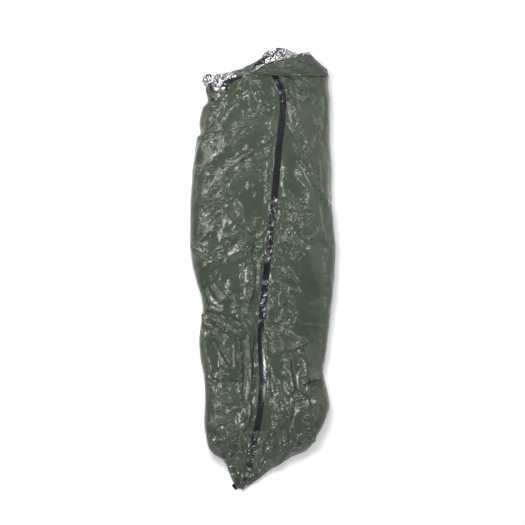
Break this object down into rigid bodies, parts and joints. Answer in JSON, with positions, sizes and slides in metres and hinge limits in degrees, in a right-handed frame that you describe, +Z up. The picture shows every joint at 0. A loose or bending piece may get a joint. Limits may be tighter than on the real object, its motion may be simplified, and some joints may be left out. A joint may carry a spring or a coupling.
{
  "type": "survival bag",
  "caption": "Person-length film survival bag, silver inside, lying full on its back, with a taped front closure whose flaps open and a turned-down collar at its mouth.",
  "frame": {"origin": "centre of the bounding box, on the ground under the bag", "axes": "+Y along the bag towards its mouth, +Z up from the ground to the front closure, +X to the wearer's left side, which is on the right when the bag is seen from above with its mouth at the top"},
  "size_m": [0.6516, 1.954, 0.2897],
  "materials": {
    "olive_film": "glossy crinkled olive-green film",
    "aluminised_film": "bright crinkled aluminised film",
    "black_tape": "satin black tape"
  },
  "bodies": {
    "base": {"back_panel": "olive_film", "back_lining": "aluminised_film", "foot_left_panel": "olive_film", "foot_left_lining": "aluminised_film", "foot_left_landing_tape": "black_tape", "foot_right_panel": "olive_film", "foot_right_lining": "aluminised_film", "foot_right_closure_tape": "black_tape", "tip_tape": "black_tape", "hood_back_panel": "olive_film", "hood_back_lining": "aluminised_film"},
    "left_flap": {"left_panel": "olive_film", "left_lining": "aluminised_film", "left_landing_tape": "black_tape"},
    "right_flap": {"right_panel": "olive_film", "right_lining": "aluminised_film", "right_closure_tape": "black_tape"},
    "collar": {"collar_panel": "olive_film", "collar_lining": "aluminised_film", "collar_tape": "black_tape"},
    "corner": {"corner_lining": "aluminised_film", "corner_panel": "olive_film", "corner_tape": "black_tape"}
  },
  "joints": [
    {"name": "right_flap_hinge", "type": "hinge", "parent": "base", "child": "right_flap", "pos_m": [0.3268, 0, 0.085], "axis": [0, 1, 0], "range_deg": [0, 120]},
    {"name": "left_flap_hinge", "type": "hinge", "parent": "base", "child": "left_flap", "pos_m": [-0.3268, 0, 0.085], "axis": [0, 1, 0], "range_deg": [-60, 0]},
    {"name": "collar_hinge", "type": "hinge", "parent": "right_flap", "child": "collar", "pos_m": [0, 0.846, 0.2398], "axis": [1, 0, 0], "range_deg": [0, 105]},
    {"name": "corner_hinge", "type": "hinge", "parent": "left_flap", "child": "corner", "pos_m": [-0.06, 0.846, 0.235], "axis": [-0.978, 0, -0.2087], "range_deg": [0, 90]}
  ],
  "couplings": [
    {"joint": "left_flap_hinge", "follows": "right_flap_hinge", "ratio": -0.5}
  ]
}
